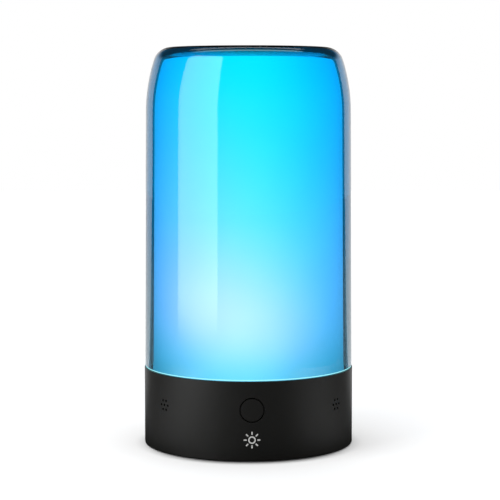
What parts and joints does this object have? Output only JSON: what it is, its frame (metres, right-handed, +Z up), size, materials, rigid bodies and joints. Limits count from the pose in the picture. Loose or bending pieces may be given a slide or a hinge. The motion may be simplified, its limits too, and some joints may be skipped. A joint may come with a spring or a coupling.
{
  "type": "table lamp",
  "caption": "Round table lamp: a clear domed cover over an opal light diffuser, on a black base with a push button, microphones and a barrel power inlet.",
  "frame": {"origin": "centre of the underside of the foot ring, on the table", "axes": "+Z up from the table along the lamp; -Y is the front, which the button faces; +Y is the back, where the power inlet opens; +X is to the right seen from the front"},
  "size_m": [0.1, 0.1001, 0.1895],
  "materials": {
    "housing_black": "satin",
    "button_black": "satin",
    "foot_rubber": "matte",
    "boot_rubber": "matte",
    "gasket_rubber": "matte",
    "clear_cover": "polished clear",
    "opal_diffuser": "frosted",
    "reflector_white": "matte",
    "label_silver": "matte",
    "mark_ink": "matte",
    "column_aluminium": "satin",
    "cap_white": "matte",
    "led_board_white": "satin",
    "led_phosphor": "satin",
    "board_green": "satin",
    "chip_black": "matte",
    "shield_tin": "satin",
    "capacitor_aluminium": "satin",
    "socket_cream": "satin",
    "jack_black": "satin",
    "contact_nickel": "polished",
    "plunger_black": "satin",
    "screw_black": "satin",
    "screw_steel": "satin",
    "lead_black": "satin",
    "lead_white": "satin"
  },
  "bodies": {
    "lamp": {"back_led_strip": "led_board_white", "back_leds": "led_phosphor", "base_housing": "housing_black", "blank_label": "label_silver", "board_screws": "screw_steel", "bottom_cover": "housing_black", "button_board": "board_green", "button_board_screws": "screw_steel", "button_lead": "lead_black", "capacitors": "capacitor_aluminium", "column_cap": "cap_white", "column_lead": "lead_white", "column_screws": "screw_steel", "cover_gasket": "gasket_rubber", "deck_screws": "screw_steel", "driver_chips": "chip_black", "foot_ring": "foot_rubber", "front_led_strip": "led_board_white", "front_leds": "led_phosphor", "front_mark": "mark_ink", "housing_screws": "screw_black", "inner_diffuser": "opal_diffuser", "jack_pin": "contact_nickel", "jack_spring": "contact_nickel", "lead_sockets": "socket_cream", "left_led_strip": "led_board_white", "left_leds": "led_phosphor", "left_mic_boot": "boot_rubber", "left_mic_lead": "lead_black", "left_microphone": "capacitor_aluminium", "light_column": "column_aluminium", "main_board": "board_green", "outer_cover": "clear_cover", "power_inductor": "chip_black", "power_jack": "jack_black", "radio_board": "board_green", "radio_shield": "shield_tin", "reflector_deck": "reflector_white", "right_led_strip": "led_board_white", "right_leds": "led_phosphor", "right_mic_boot": "boot_rubber", "right_mic_lead": "lead_black", "right_microphone": "capacitor_aluminium", "ring_board_screws": "screw_steel", "ring_lead": "lead_white", "ring_led_board": "led_board_white", "ring_leds": "led_phosphor", "small_chips": "chip_black", "strip_leads": "lead_white", "strip_screws": "screw_steel", "switch_base": "chip_black", "switch_cover": "shield_tin", "switch_dome": "shield_tin", "top_board_screws": "screw_steel", "top_led_board": "led_board_white", "top_leds": "led_phosphor"},
    "button": {"button_cap": "button_black"},
    "plunger": {"switch_plunger": "plunger_black"}
  },
  "joints": [
    {"name": "button_press", "type": "slide", "parent": "lamp", "child": "button", "axis": [0, 1, 0], "range_m": [0, 0.0006], "stiffness_N_per_m": 500, "springref_m": -0.002},
    {"name": "plunger_press", "type": "slide", "parent": "lamp", "child": "plunger", "axis": [0, 1, 0], "range_m": [0, 0.0006], "deforming": ["switch_dome"]}
  ],
  "couplings": [
    {"joint": "plunger_press", "follows": "button_press", "ratio": 1}
  ]
}
